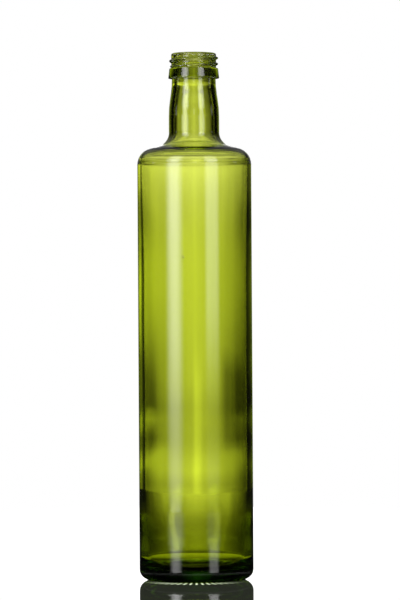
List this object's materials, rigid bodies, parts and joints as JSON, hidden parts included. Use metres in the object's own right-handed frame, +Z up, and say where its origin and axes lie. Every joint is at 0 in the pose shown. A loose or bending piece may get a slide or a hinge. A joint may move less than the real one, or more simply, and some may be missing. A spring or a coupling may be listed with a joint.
{
  "type": "glass oil bottle",
  "caption": "Tall round green glass bottle for cooking or hair oil, with a narrow neck, a collar and an open screw mouth.",
  "frame": {"origin": "centre of the base, on the surface that the bottle stands on", "axes": "+Z up along the bottle's axis, from the base to the mouth; the screw thread's upper end fades out past +X, towards +Y"},
  "size_m": [0.069, 0.069, 0.319],
  "materials": {
    "green_glass": "clear yellow-green glass, polished by the flame, with faint ripples"
  },
  "bodies": {
    "root": {"bottle": "green_glass"}
  },
  "joints": []
}
